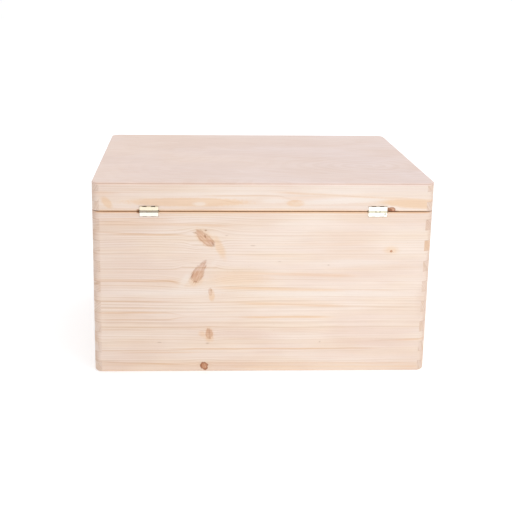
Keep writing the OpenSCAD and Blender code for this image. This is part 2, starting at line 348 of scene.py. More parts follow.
# %% Grain line group
grain_line, given, made = new_group(
    "Grain line",
    [("Board", "vector", (0, 0, 0)), ("Up", "value", 0.0), ("Half width", "value", 1.0),
     ("From", "value", -HALF_LENGTH), ("To", "value", HALF_LENGTH), ("Slope", "value", 0.0),
     ("Step", "value", 0.0), ("Step at", "value", 0.0), ("Strength", "value", 0.5),
     ("Fade", "value", 35.0), ("Line in", "value", 0.0)],
    [("Line", "value")],
)
x, y, z = split(grain_line, given["Board"])
past = ramp(grain_line, maths(grain_line, "SUBTRACT", given["Step at"], x), -16.0, 16.0)
middle = maths(grain_line, "MULTIPLY_ADD", past, given["Step"], given["Up"])
from_end = maths(grain_line, "SUBTRACT", HALF_LENGTH, x)
middle = maths(grain_line, "MULTIPLY_ADD", from_end, given["Slope"], middle)
off = maths(grain_line, "ABSOLUTE", maths(grain_line, "SUBTRACT", z, middle))
across = ramp(grain_line, maths(grain_line, "DIVIDE", off, given["Half width"]), 0.1, 1.25, 1.0, 0.0)
start = maths(grain_line, "SUBTRACT", x, given["From"])
start = ramp(grain_line, maths(grain_line, "DIVIDE", start, given["Fade"]), 0.0, 1.0)
end = maths(grain_line, "SUBTRACT", given["To"], x)
end = ramp(grain_line, maths(grain_line, "DIVIDE", end, given["Fade"]), 0.0, 1.0)
across = maths(grain_line, "MULTIPLY", maths(grain_line, "MULTIPLY", across, given["Strength"]),
               maths(grain_line, "MULTIPLY", start, end))
socket_value(grain_line, made["Line"], maths(grain_line, "MAXIMUM", across, given["Line in"]))
print("group:", grain_line.name)

# %% [markdown]
# ## Joints
# The fingers are real shapes in the model. They fit tightly and are sanded flush, so a joint shows
# only as a hair line of glue between two pieces of wood whose grain runs in different directions. Such
# a line is too fine to model, so it is drawn along the rows of fingers.
# The lid was sawn off the glued box, so its rows lie a little lower than the body's would. The outer
# edges of the two rims turn a warm light brown along the seam: painted shade, warm like the light that
# bounces in the narrow gap between lid and body. Every finger end drinks the light a little
# differently, which gives each row its own tone.

# %% Joint group
FINGER = 12.7
LID_ROWS_DROP = 3.8
SEAM = 200.5

joints, given, made = new_group(
    "Joints",
    [("Board", "vector", (0, 0, 0)), ("Shoulder", "value", HALF_LENGTH - WALL),
     ("Face depth", "value", HALF_DEPTH)],
    [("Glue line", "value"), ("Row tone", "value"), ("Seam shade", "value")],
)
x, y, z = split(joints, given["Board"])
in_lid = maths(joints, "GREATER_THAN", z, SEAM)
rows = maths(joints, "DIVIDE", maths(joints, "MULTIPLY_ADD", in_lid, LID_ROWS_DROP, z), FINGER)
to_row = maths(joints, "SUBTRACT", maths(joints, "FRACT", maths(joints, "ADD", rows, 0.5)), 0.5)
to_row = maths(joints, "MULTIPLY", maths(joints, "ABSOLUTE", to_row), FINGER)
in_fingers = maths(joints, "GREATER_THAN", maths(joints, "ABSOLUTE", x), given["Shoulder"])
glue = maths(joints, "MULTIPLY", ramp(joints, to_row, 0.06, 0.20, 1.0, 0.0), in_fingers)
row_at = combine(joints, maths(joints, "FLOOR", rows), maths(joints, "SIGN", x), given["Shoulder"])
row_tone = add_node(joints, "ShaderNodeTexWhiteNoise", {"Vector": row_at}, noise_dimensions="3D")
# Painted shade: the outer edges of both rims turn a warm light brown near the seam, for the narrow gap
# between lid and body.
from_seam = maths(joints, "ABSOLUTE", maths(joints, "SUBTRACT", z, SEAM))
seam_shade = ramp(joints, from_seam, 0.8, 1.7, 1.0, 0.0)
face = maths(joints, "ABSOLUTE", given["Face depth"])
from_face = maths(joints, "SUBTRACT", face, maths(joints, "ABSOLUTE", y))
seam_shade = maths(joints, "MULTIPLY", seam_shade, ramp(joints, from_face, 0.9, 2.2, 1.0, 0.12))
socket_value(joints, made["Glue line"], glue)
socket_value(joints, made["Row tone"], row_tone.outputs[0])
socket_value(joints, made["Seam shade"], seam_shade)
print("group:", joints.name)

# %% [markdown]
# ## Pine
# The finish group turns all those masks into a colour, a roughness and a relief. Sanded pine is pale
# and dry. A brown laid over the wood would hide what is under it, so each mask multiplies the colour
# instead, as a stain or resin does. Fibres show as fine streaks and resin canals as short dark dashes,
# and end grain is a shade darker and pinker.

# %% Pine colours
PINE = (0.785, 0.640, 0.548, 1.0)
PALE_WOOD = (0.795, 0.70, 0.635, 1.0)
SUMMER_TINT = (0.875, 0.80, 0.715)
CLOUD_TINT = (0.965, 0.935, 0.93)
WARM_TINT = (0.985, 0.96, 0.915)
LINE_TINT = (0.885, 0.765, 0.635)
RESIN_TINT = (0.985, 0.885, 0.755)
BLUSH_TINT = (0.955, 0.915, 0.895)
CANAL_TINT = (0.66, 0.55, 0.46)
END_TINT = (0.92, 0.865, 0.825)
KNOT_TINT = (0.66, 0.40, 0.27)
RIM_TINT = (0.55, 0.36, 0.26)
FLECK_TINT = (0.55, 0.42, 0.33)
GLUE_TINT = (0.74, 0.64, 0.56)
# The last tint is painted shade for the seam between lid and body.
SEAM_SHADE_TINT = (0.97, 0.76, 0.54)


def tint(tree, amount, colour, shade):
    """Multiplies a colour by a shade, as far as the amount says."""
    return blend_colours(tree, amount, colour, (*shade, 1.0), "MULTIPLY")


def stretched_noise(tree, vector, stretch, **settings):
    """Noise whose spots are drawn out along an axis where its stretch is small."""
    return noise(tree, vector_maths(tree, "MULTIPLY", vector, stretch), 1.0, **settings)


def scaled(tree, colour, share):
    """A colour with all its three values multiplied by a share."""
    return vector_maths(tree, "MULTIPLY", colour, combine(tree, share, share, share))


print("spring wood", PINE[:3])

# %% Pine finish group and its noises
pine_finish, given, made = new_group(
    "Pine finish",
    [("Board", "vector", (0, 0, 0)), ("Grain side", "value", 0.0), ("Summer wood", "value", 0.0),
     ("Ring tone", "value", 0.5), ("Contrast", "value", 1.0), ("Line", "value", 0.0),
     ("Resin", "value", 0.0), ("Blush", "value", 0.0), ("Pale", "value", 0.0), ("Knot", "value", 0.0),
     ("Rim", "value", 0.0), ("Fleck", "value", 0.0), ("Glue line", "value", 0.0),
     ("Row tone", "value", 0.0), ("Seam shade", "value", 0.0), ("Seed", "value", 0.0),
     ("Spring colour", "colour", PINE)],
    [("Colour", "colour"), ("Roughness", "value"), ("Relief", "value")],
)
tree = pine_finish
seed_shift = combine(tree, given["Seed"], given["Seed"], given["Seed"])
shifted = vector_maths(tree, "ADD", given["Board"], seed_shift)
fibres = stretched_noise(tree, shifted, (0.045, 3.2, 3.2), detail=4.0, roughness=0.62)
streaks = stretched_noise(tree, shifted, (0.008, 0.30, 0.30), detail=3.0)
clouds = stretched_noise(tree, shifted, (0.011, 0.030, 0.030), detail=2.0)
warm = stretched_noise(tree, shifted, (-0.009, 0.09, 0.09), detail=2.0)
canals = stretched_noise(tree, shifted, (0.16, 2.6, 2.6), detail=1.0)
pores = noise(tree, shifted, 1.7, detail=2.0)
print("noises for fibres, streaks, clouds, warmth, resin canals and pores")

# %% Pine finish, long grain
ring_strength = ramp(tree, given["Ring tone"], 0.0, 1.0, 0.35, 1.0, "LINEAR")
ring_strength = maths(tree, "MULTIPLY", ring_strength, ramp(tree, streaks, 0.32, 0.66, 0.55, 1.15))
ring_strength = maths(tree, "MULTIPLY", ring_strength, given["Contrast"])
summer = maths(tree, "MULTIPLY", given["Summer wood"], ring_strength)
colour = tint(tree, summer, given["Spring colour"], SUMMER_TINT)
colour = tint(tree, ramp(tree, clouds, 0.34, 0.64), colour, CLOUD_TINT)
colour = tint(tree, ramp(tree, warm, 0.40, 0.66), colour, WARM_TINT)
broken = maths(tree, "MULTIPLY", given["Line"], ramp(tree, streaks, 0.30, 0.62, 0.65, 1.15))
colour = tint(tree, broken, colour, LINE_TINT)
colour = tint(tree, given["Resin"], colour, RESIN_TINT)
colour = tint(tree, given["Blush"], colour, BLUSH_TINT)
pale = maths(tree, "MULTIPLY", given["Pale"], 0.7)
colour = blend_colours(tree, pale, colour, PALE_WOOD)
colour = scaled(tree, colour, ramp(tree, fibres, 0.30, 0.72, 0.965, 1.03))
canals = maths(tree, "MULTIPLY", ramp(tree, canals, 0.735, 0.80), 0.4)
colour = tint(tree, canals, colour, CANAL_TINT)
print("long grain takes", len(tree.nodes), "nodes so far")

# %% Pine finish, end grain, knots and joints
end_grain = ramp(tree, given["Grain side"], 0.25, 0.95)
end_colour = scaled(tree, colour, ramp(tree, pores, 0.35, 0.65, 0.94, 1.02))
row_shade = ramp(tree, given["Row tone"], 0.0, 1.0, 0.45, 1.25, "LINEAR")
end_colour = tint(tree, row_shade, end_colour, END_TINT)
colour = blend_colours(tree, end_grain, colour, end_colour)
colour = tint(tree, given["Knot"], colour, KNOT_TINT)
colour = tint(tree, given["Rim"], colour, RIM_TINT)
colour = tint(tree, given["Fleck"], colour, FLECK_TINT)
colour = tint(tree, given["Glue line"], colour, GLUE_TINT)
# Painted shade along the seam between lid and body.
colour = tint(tree, given["Seam shade"], colour, SEAM_SHADE_TINT)
print("colour takes", len(tree.nodes), "nodes so far")

# %% Pine finish, roughness and relief
rough = ramp(tree, summer, 0.0, 1.0, 0.66, 0.54)
rough = maths(tree, "SUBTRACT", rough, maths(tree, "MULTIPLY", given["Knot"], 0.14))
relief = maths(tree, "MULTIPLY_ADD", fibres, 0.5, maths(tree, "MULTIPLY", summer, 0.35))
relief = maths(tree, "SUBTRACT", relief, maths(tree, "MULTIPLY", given["Glue line"], 0.6))
relief = maths(tree, "SUBTRACT", relief, maths(tree, "MULTIPLY", given["Rim"], 0.5))
socket_value(tree, made["Colour"], colour)
socket_value(tree, made["Roughness"], rough)
socket_value(tree, made["Relief"], relief)
print("group:", pine_finish.name)

# %% [markdown]
# ## One material for each board
# No two boards come from the same place in a tree. One material for all would repeat its knots on
# every face, so each board gets its own: where the heart of the log lies, how wide the rings are, its
# knots, marks and lines. Sizes are in millimetres on the board, with the grain along the first axis,
# so a board of the side is turned by a quarter first.

# %% Lists of places turned into chains of groups
KNOT_FIELDS = ("Along", "Up", "Turn", "Half length", "Half width", "Point", "Darkness", "Push")
MARK_FIELDS = ("Along", "Up", "Turn", "Half length", "Half width", "Softness", "Strength")
LINE_FIELDS = ("Up", "Half width", "From", "To", "Slope", "Step", "Step at", "Strength")
SEED_STEP = 37.0


def chain(tree, group, output, fields, places, **shared):
    """Places one group after another and returns the last output."""
    value = 0.0
    for place in places:
        inputs = dict(zip(fields, place))
        if "Turn" in inputs:
            inputs["Turn"] = math.radians(inputs["Turn"])
        value = use_group(tree, group, {output + " in": value, **shared, **inputs})[output]
    return value


def knot_chain(tree, board, face, ragged, knots):
    """Places the knots one after another and returns the outputs of the last one."""
    found = {"Bend": 0.0, "Knot": 0.0, "Rim": 0.0}
    for place in knots:
        inputs = dict(zip(KNOT_FIELDS, place))
        inputs["Turn"] = math.radians(inputs["Turn"])
        found = use_group(tree, knot, {
            "Board": board, "Face depth": face, "Ragged": ragged, "Bend in": found["Bend"],
            "Knot in": found["Knot"], "Rim in": found["Rim"], **inputs})
    return found


def swaying(tree, board):
    """Board position that wanders up and down a little, so that a long line isn't ruled."""
    sway = stretched_noise(tree, board, (0.02, 0.0, 0.05), detail=2.0)
    sway = maths(tree, "MULTIPLY", maths(tree, "SUBTRACT", sway, 0.5), 1.8)
    return vector_maths(tree, "ADD", board, combine(tree, 0.0, 0.0, sway))


print("a knot is given by", KNOT_FIELDS)


# %% Pine material
def pine_material(name, along="X", heart=(0.0, -90.0), ring_width=3.1, waviness=5.0, contrast=1.0,
                  seed=0.0, face=0.0, fade=1.0, knots=(), lines=(), stripes=(), resin=(), blush=(),
                  pale=(), flecks=()):
    """Pine for one board that lies along an axis, with its knots, marks and lines."""
    material, tree, shader = new_material(name)
    seen = add_node(tree, "ShaderNodeTexCoord")
    lengthways = along == "X"
    board = add_node(tree, "ShaderNodeMapping", {
        "Vector": seen.outputs["Object"], "Scale": (MM, MM, MM),
        "Rotation": (0.0, 0.0, 0.0 if lengthways else -math.pi / 2)}).outputs[0]
    side = maths(tree, "ABSOLUTE", split(tree, seen.outputs["Normal"])[0 if lengthways else 1])
    ragged = noise(tree, board, 0.45, detail=3.0)
    grown_round = knot_chain(tree, board, face, ragged, knots)
    grown = use_group(tree, rings, {
        "Board": board, "Bend": grown_round["Bend"], "Heart depth": heart[0],
        "Heart height": heart[1], "Ring width": ring_width, "Waviness": waviness, "Seed": seed})
    ovals = {"Board": board, "Ragged": ragged}
    swayed = swaying(tree, board)
    joint = use_group(tree, joints, {
        "Board": board, "Face depth": face,
        "Shoulder": (HALF_LENGTH if lengthways else HALF_DEPTH) - WALL})
    strong = ramp(tree, split(tree, board)[0], -120.0, 120.0, contrast * fade, contrast)
    stripe = chain(tree, grain_line, "Line", LINE_FIELDS, stripes, Board=swayed)
    spots = chain(tree, mark, "Mark", MARK_FIELDS, resin, **ovals)
    finish = use_group(tree, pine_finish, {
        "Board": board, "Grain side": side, "Summer wood": grown["Summer wood"],
        "Ring tone": grown["Ring tone"], "Contrast": strong,
        "Knot": grown_round["Knot"], "Rim": grown_round["Rim"],
        "Line": chain(tree, grain_line, "Line", LINE_FIELDS, lines, Board=swayed),
        "Resin": maths(tree, "MAXIMUM", stripe, spots),
        "Blush": chain(tree, mark, "Mark", MARK_FIELDS, blush, **ovals),
        "Pale": chain(tree, mark, "Mark", MARK_FIELDS, pale, **ovals),
        "Fleck": chain(tree, mark, "Mark", MARK_FIELDS, flecks, **ovals),
        "Glue line": joint["Glue line"], "Row tone": joint["Row tone"],
        "Seam shade": joint["Seam shade"], "Seed": seed * SEED_STEP})
    bump = add_node(tree, "ShaderNodeBump", {
        "Strength": 0.35, "Distance": 0.0002, "Height": finish["Relief"]})
    socket_value(tree, shader.inputs["Base Color"], finish["Colour"])
    socket_value(tree, shader.inputs["Roughness"], finish["Roughness"])
    socket_value(tree, shader.inputs["Normal"], bump.outputs[0])
    shader.inputs["Specular IOR Level"].default_value = 0.35
    return material


print("pine takes its heart, rings, knots, marks and lines from the board")


# %% Dressing a part
def dress(node, material):
    """Gives one part its material."""
    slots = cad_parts[node].data.materials
    slots.clear()
    slots.append(material)
    print(node, "<-", material.name, "with", len(material.node_tree.nodes), "nodes")


print("parts to dress:", len(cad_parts))

# %% [markdown]
# ## The back
# The back is the board to look at. It was sawn so that the rings cross it from edge to edge, which
# gives fine level lines. One whorl of branches crossed it, so its knots stand one above another: two
# long spikes cut along their length, a faint one, and two round ones below.
#
# Random grain would look like pine, but not like this board. So its own features are listed one by
# one, in the order of the fields above: first the knots, then the dark lines and the yellow stripes,
# then soft marks for resin, darker bands, pale spots and small flecks. Two of the soft marks are
# painted shade: a wide band along the foot and a band up the corner at the dimmer end.

# %% Knots of the back
back_knots = [
    (68.5, 168.0, 42, 13.5, 5.6, 0.22, 0.50, 0.6),
    (75.0, 126.5, -60, 15.0, 6.2, -0.28, 0.52, 0.6),
    (61.2, 101.8, 88, 4.6, 2.6, 0.0, 0.30, 0.3),
    (62.6, 48.6, 84, 6.6, 4.2, 0.1, 0.40, 0.35),
    (68.0, 7.2, 70, 4.9, 4.2, 0.0, 1.10, 0.9),
    (-152.0, 152.0, 0, 1.5, 1.3, 0.0, 0.9, 1.2),
]
print(len(back_knots), "knots on the back")

# %% Lines and stripes of the back
back_lines = [
    (188.6, 1.0, 20, 212, -0.030, 0, 0, 0.42), (184.6, 0.9, 30, 212, -0.015, 0, 0, 0.38),
    (175.2, 1.0, 72, 212, -0.030, 0, 0, 0.55), (172.3, 0.9, 78, 190, -0.008, 0, 0, 0.40),
    (129.6, 1.0, 78, 212, 0.0, 0, 0, 0.48), (126.4, 0.8, 95, 200, -0.02, 0, 0, 0.30),
    (114.9, 1.3, 76, 220, 0.0, -7.0, 97, 0.80), (111.8, 1.1, -180, 72, -0.024, 0, 0, 0.42),
    (122.2, 0.9, -10, 66, 0.0, 0, 0, 0.40), (121.5, 0.8, -190, 30, -0.020, 0, 0, 0.26),
    (90.0, 1.2, 90, 215, -0.004, 0, 0, 0.50), (92.6, 1.0, -190, 78, -0.030, 0, 0, 0.34),
    (75.3, 1.1, 84, 216, 0.0, -4.4, 100, 0.72), (66.5, 1.1, 70, 216, 0.0, 3.8, 100, 0.62),
    (70.0, 1.2, -90, 98, 0.0, 0, 0, 0.42), (63.3, 0.8, 120, 212, 0.0, 0, 0, 0.28),
    (57.8, 0.8, -30, 212, 0.0, 0, 0, 0.30), (54.6, 1.2, 110, 212, -0.020, 0, 0, 0.45),
    (56.2, 0.9, -135, -70, 0.0, 0, 0, 0.35), (42.2, 0.8, -15, 58, 0.0, 0, 0, 0.42),
    (40.3, 0.8, 90, 205, -0.030, 0, 0, 0.38), (27.3, 1.1, -160, 216, 0.002, 1.1, 90, 0.56),
    (24.6, 1.0, -40, 160, 0.0, 0, 0, 0.26), (18.0, 0.8, -160, 175, 0.003, 0, 0, 0.22),
    (13.0, 1.2, 85, 212, -0.034, 0, 0, 0.72), (11.8, 1.0, -190, 105, -0.004, 0, 0, 0.45),
    (25.6, 1.2, -215, -120, 0.040, 0, 0, 0.45), (104.2, 0.8, -200, -20, -0.030, 0, 0, 0.30),
]
back_stripes = [
    (198.6, 1.5, -215, 215, 0.0, 0, 0, 0.85), (191.4, 1.1, 95, 212, 0.0, 0, 0, 0.55),
    (186.6, 1.4, 30, 212, -0.022, 0, 0, 0.60), (195.4, 0.9, -190, 190, 0.0, 0, 0, 0.40),
    (173.6, 1.6, 78, 190, -0.018, 0, 0, 0.55), (128.9, 2.6, -120, 66, -0.023, 0, 0, 0.70),
    (119.6, 2.0, 10, 66, -0.010, 0, 0, 0.80), (114.2, 1.6, 10, 66, 0.0, 0, 0, 0.75),
    (110.6, 2.2, -110, 70, -0.026, 0, 0, 0.85), (92.9, 2.6, -110, 40, -0.030, 0, 0, 0.75),
    (88.0, 1.2, -90, -30, -0.012, 0, 0, 0.60), (75.6, 1.6, 110, 212, 0.0, -2.0, 110, 0.55),
    (69.7, 1.8, -96, 34, 0.0, 0, 0, 0.95), (116.6, 1.2, 78, 215, 0.0, -7.0, 97, 0.55),
    (28.8, 1.7, -90, 120, 0.002, 0, 0, 0.55), (24.6, 1.2, 60, 180, 0.0, 0, 0, 0.60),
    (9.6, 1.8, -200, 212, 0.0, 0, 0, 0.55), (5.4, 2.2, -215, 60, 0.0, 0, 0, 0.80),
    (2.4, 1.6, -215, 215, 0.0, 0, 0, 0.60), (25.0, 1.8, -215, -150, 0.040, 0, 0, 0.90),
    (80.6, 1.0, 120, 212, 0.0, 0, 0, 0.40), (148.4, 0.9, -60, 212, -0.010, 0, 0, 0.30),
    (158.0, 0.9, -200, 60, 0.010, 0, 0, 0.30), (35.0, 1.0, -135, -95, 0.0, 0, 0, 0.70),
]
print(len(back_lines), "lines and", len(back_stripes), "stripes on the back")

# %% Resin, darker bands and painted shade of the back
back_resin_and_foot_shade = [
    (51.0, 156.5, 66, 17.0, 5.6, 0.55, 0.95), (59.8, 97.6, 86, 8.4, 3.8, 0.5, 1.4),
    (68.0, 168.0, 42, 16.5, 8.6, 0.4, 0.80), (78.0, 119.0, -60, 12.5, 9.0, 0.5, 0.75),
    (70.5, 48.5, 20, 5.5, 4.6, 0.7, 0.85), (-152.0, 153.4, 0, 10.0, 5.4, 0.8, 0.95),
    (28.0, 118.5, 0, 40.0, 10.5, 0.6, 0.62), (-40.0, 87.0, -2, 55.0, 2.6, 0.7, 0.45),
    # The first mark on the next line, a wide band along the foot, is painted shade where the rounded
    # bottom edge turns under, away from the light.
    (0.0, 4.0, 0, 260.0, 9.0, 0.6, 0.42), (150.0, 187.0, 0, 60.0, 5.0, 0.8, 0.35),
    (62.6, 47.0, 84, 10.4, 6.4, 0.5, 0.95),
]
back_bands_and_corner_shade = [
    (22.0, 47.5, 0, 40.0, 6.5, 0.6, 0.85), (-45.0, 52.5, 0, 40.0, 4.0, 0.7, 0.6),
    (-150.0, 36.5, 2, 60.0, 6.0, 0.6, 0.85), (-100.0, 123.0, -1, 140.0, 4.6, 0.7, 0.6),
    (150.0, 88.0, 0, 60.0, 7.0, 0.8, 0.45), (0.0, 8.0, 0, 75.0, 4.5, 0.7, 0.55),
    (-170.0, 136.0, 0, 60.0, 9.0, 0.8, 0.6), (-192.0, 92.0, 90, 22.0, 8.0, 0.8, 0.7),
    (120.0, 138.0, 0, 90.0, 10.0, 0.8, 0.35), (-120.0, 52.0, 0, 90.0, 6.0, 0.8, 0.45),
    # The next band runs up the whole corner at the dimmer end: painted shade where the rounded corner
    # turns from the light.
    (198.0, 117.0, 90, 150.0, 8.0, 0.4, 0.85),
]
print(len(back_resin_and_foot_shade), "resin marks and", len(back_bands_and_corner_shade), "darker bands on the back")

# %% Pale spots and flecks of the back
back_pale = [
    (92.0, 116.0, -55, 13.0, 5.0, 0.7, 0.5), (58.0, 136.0, -55, 10.0, 3.0, 0.7, 0.2),
    (61.0, 162.0, 45, 8.0, 2.0, 0.7, 0.3), (120.0, 101.0, 0, 80.0, 6.0, 0.8, 0.5),
    (-60.0, 99.0, 0, 110.0, 5.0, 0.8, 0.6), (-110.0, 138.0, 0, 60.0, 6.0, 0.8, 0.4),
    (70.0, 82.0, 0, 60.0, 4.0, 0.8, 0.3),
]
back_flecks = [
    (12.0, 159.0, 0, 3.6, 0.9, 0.7, 0.40), (43.0, 171.3, 0, 2.4, 0.8, 0.7, 0.35),
    (122.0, 37.6, 0, 3.2, 0.9, 0.7, 0.40), (64.4, 36.2, 0, 2.2, 1.2, 0.7, 0.40),
    (67.4, 177.6, 0, 1.8, 1.1, 0.7, 0.85), (-78.0, 135.0, 0, 1.6, 1.0, 0.7, 0.35),
    (-20.0, 139.3, 0, 2.4, 0.7, 0.7, 0.30), (-71.0, 38.0, 0, 1.4, 1.2, 0.7, 0.30),
    (68.2, 170.5, 75, 2.6, 1.1, 0.7, 0.80), (80.5, 174.6, 10, 3.0, 0.9, 0.7, 0.50),
    (58.6, 160.6, 60, 4.0, 1.2, 0.7, 0.55), (60.5, 103.5, 90, 2.2, 1.0, 0.7, 0.40),
    (62.4, 50.2, 80, 4.2, 2.2, 0.9, 0.32), (62.2, 43.8, 95, 2.8, 1.6, 0.9, 0.30),
    (83.5, 121.5, -60, 5.0, 0.9, 0.7, 0.50), (79.0, 114.6, 20, 2.6, 1.0, 0.7, 0.50),
    (146.0, 199.3, 0, 2.0, 1.3, 0.5, 1.2),
]
print(len(back_pale), "pale spots and", len(back_flecks), "flecks on the back")

# %% Back panel
dress("back_panel", pine_material(
    "pine_back", heart=(150.0, -400.0), ring_width=2.8, waviness=6.0, contrast=1.05, seed=1.0,
    face=HALF_DEPTH, fade=0.6, knots=back_knots, lines=back_lines, stripes=back_stripes,
    resin=back_resin_and_foot_shade, blush=back_bands_and_corner_shade, pale=back_pale, flecks=back_flecks))

# %% [markdown]
# ## The lid's back rail
# This narrow board was sawn on the flat, so its rings run almost along its face and close in long
# tongues that point to one side. A small dark knot sits in its lower edge beside a hinge.

# %% Lines and stripes of the rail
rail_lines = [
    (215.4, 0.9, 8, 170, 0.0, -4.6, 44, 0.32), (219.6, 0.9, -48, 84, -0.001, -7.5, -30, 0.50),
    (207.0, 0.8, -50, -18, 0.0, 0, 0, 0.35), (235.0, 1.1, -160, -10, -0.053, 0, 0, 0.42),
    (226.0, 0.9, -40, 185, 0.0, 0, 0, 0.40), (222.8, 0.8, 125, 212, 0.0, 0, 0, 0.30),
    (228.8, 0.8, -212, -20, -0.004, 0, 0, 0.36), (230.2, 0.7, -120, 212, 0.0, 0, 0, 0.32),
    (226.6, 0.7, -212, -60, -0.004, 0, 0, 0.30), (224.3, 0.7, -30, 120, 0.0, 0, 0, 0.26),
]
rail_stripes = [
    (213.4, 1.6, 40, 165, 0.0, 0, 0, 0.95), (209.2, 2.0, 40, 150, 0.0, 0, 0, 0.75),
    (210.6, 2.2, 2, 80, 0.0, 0, 0, 0.95), (235.2, 2.0, -215, 0, -0.053, 0, 0, 0.85),
    (203.2, 1.2, -120, 200, 0.0, 0, 0, 0.45), (219.4, 1.4, -20, 80, 0.0, 0, 0, 0.50),
    (232.2, 1.2, -215, -110, -0.045, 0, 0, 0.70),
]
print(len(rail_lines), "lines and", len(rail_stripes), "stripes on the rail")

# %% Knot and soft marks of the rail
rail_knots = [(-149.4, 203.2, 6, 4.9, 2.9, 0.0, 1.05, 1.0)]
rail_resin = [
    (88.0, 211.6, 0, 78.0, 5.6, 0.3, 1.0), (-37.0, 210.4, 0, 11.0, 4.4, 0.3, 1.15),
    (-180.0, 210.0, 3, 46.0, 6.0, 0.4, 1.25), (182.0, 211.0, 50, 9.5, 5.0, 0.5, 1.1),
    (-90.0, 219.9, -3, 85.0, 2.4, 0.7, 0.6), (30.0, 202.2, 0, 190.0, 1.6, 0.8, 0.5),
    (188.0, 222.0, 0, 20.0, 3.0, 0.8, 0.5),
]
rail_pale = [
    (75.0, 209.4, 0, 9.0, 2.8, 0.6, 0.75), (-92.0, 213.4, -3, 62.0, 4.0, 0.5, 0.75),
    (-120.0, 224.0, 0, 110.0, 9.0, 0.8, 0.55), (40.0, 224.0, 0, 90.0, 7.0, 0.8, 0.3),
    (-60.0, 206.0, 0, 90.0, 2.4, 0.8, 0.5), (-12.0, 213.6, 0, 18.0, 3.2, 0.6, 0.6),
]
rail_flecks = [
    (-148.0, 202.4, 30, 3.2, 2.2, 0.6, 1.2), (-155.0, 201.4, 0, 4.0, 0.8, 0.8, 0.5),
    (193.6, 209.0, -67, 7.0, 0.35, 0.6, 0.9), (146.0, 201.8, 0, 2.0, 1.2, 0.5, 1.2),
]
print(len(rail_resin) + len(rail_pale) + len(rail_flecks), "soft marks on the rail")

# %% Lid back rail
dress("lid_back_rail", pine_material(
    "pine_lid_back", heart=(60.0, 420.0), ring_width=2.6, waviness=7.0, contrast=0.5, seed=5.0,
    face=HALF_DEPTH, knots=rail_knots, lines=rail_lines, stripes=rail_stripes, resin=rail_resin,
    pale=rail_pale, flecks=rail_flecks))

# %% [markdown]
# ## The other boards
# The rest get quieter boards, the large ones with a knot or two each, so that the box looks right from
# every side. A few numbers are enough for each, as any grain will do.

# %% Front panel
dress("front_panel", pine_material(
    "pine_front", heart=(-40.0, 60.0), seed=2.0, face=-HALF_DEPTH,
    knots=[(-96.0, 148.0, 20, 5.5, 4.0, 0.0, 0.8, 0.9), (118.0, 62.0, -12, 3.6, 3.0, 0.0, 0.75, 0.9)],
    lines=[(172.0, 1.4, -215, 190, 0.01, 0, 0, 0.7), (101.0, 1.4, -150, 215, -0.01, 0, 0, 0.7),
           (88.0, 1.2, -215, 120, 0.0, 3.0, 20, 0.6), (34.0, 1.5, -215, 215, 0.005, 0, 0, 0.7),
           (16.0, 1.2, -60, 215, 0.0, 0, 0, 0.6)],
    resin=[(-20.0, 118.0, 0, 120.0, 6.0, 0.7, 0.5), (-96.0, 148.0, 0, 14.0, 8.0, 0.9, 0.6)],
    blush=[(60.0, 30.0, 0, 130.0, 8.0, 0.7, 0.6)]))

# %% Side panels
dress("left_panel", pine_material(
    "pine_left", along="Y", heart=(-120.0, -70.0), seed=3.0, face=HALF_LENGTH,
    knots=[(84.0, 52.0, 25, 4.6, 3.6, 0.0, 0.8, 0.9)],
    lines=[(120.0, 1.4, -165, 165, 0.008, 0, 0, 0.7), (78.0, 1.3, -165, 90, 0.0, -2.5, 10, 0.6),
           (24.0, 1.5, -165, 165, 0.0, 0, 0, 0.7)],
    resin=[(-30.0, 96.0, 0, 90.0, 5.0, 0.7, 0.5), (84.0, 52.0, 0, 12.0, 8.0, 0.9, 0.6),
           (152.0, 158.8, 0, 12.0, 8.0, 0.3, 1.0)],
    blush=[(152.0, 184.2, 0, 12.0, 8.0, 0.3, 1.3), (152.0, 158.8, 0, 12.0, 8.0, 0.3, 0.8)]))
dress("right_panel", pine_material(
    "pine_right", along="Y", heart=(-150.0, 40.0), seed=4.0, face=HALF_LENGTH,
    knots=[(-72.0, 86.0, -28, 4.2, 3.2, 0.0, 0.8, 0.9)],
    lines=[(188.0, 1.3, -165, 165, 0.0, 0, 0, 0.6), (112.0, 1.4, -100, 165, -0.01, 0, 0, 0.7),
           (46.0, 1.3, -165, 130, 0.0, 2.5, -10, 0.6)],
    resin=[(20.0, 66.0, 0, 100.0, 5.0, 0.7, 0.5)], blush=[(0.0, 20.0, 0, 140.0, 8.0, 0.7, 0.6)]))

# %% The lid's other rails
dress("lid_front_rail", pine_material(
    "pine_lid_front", heart=(-110.0, 420.0), contrast=0.8, seed=6.0, face=-HALF_DEPTH,
    lines=[(222.0, 1.6, -215, 120, 0.01, 0, 0, 0.7), (207.0, 1.2, -120, 215, 0.0, 0, 0, 0.6)],
    resin=[(-60.0, 214.0, 0, 120.0, 4.0, 0.6, 0.7)]))
dress("lid_left_rail", pine_material(
    "pine_lid_left", along="Y", heart=(-140.0, 20.0), seed=7.0, face=HALF_LENGTH,
    lines=[(212.0, 1.4, -165, 120, 0.02, 0, 0, 0.6)], resin=[(40.0, 222.0, 0, 90.0, 4.0, 0.7, 0.5)]))
dress("lid_right_rail", pine_material(
    "pine_lid_right", along="Y", heart=(120.0, 60.0), seed=8.0, face=HALF_LENGTH,
    lines=[(219.0, 1.4, -165, 165, -0.01, 0, 0, 0.6)], resin=[(-40.0, 208.0, 0, 90.0, 3.0, 0.7, 0.5)]))

# %% [markdown]
# ## Plywood
# The lid's top and the bottom are plywood. Its face is peeled from the log like paper from a roll, so
# the figure is broad, soft and low in contrast. Rings in space would give lines that are too sharp,
# so the figure comes from stretched noise and a few wide arcs. The edge shows three layers: the middle
# one runs the other way, so it is dark where the outer ones are light, with a thin glue line between.

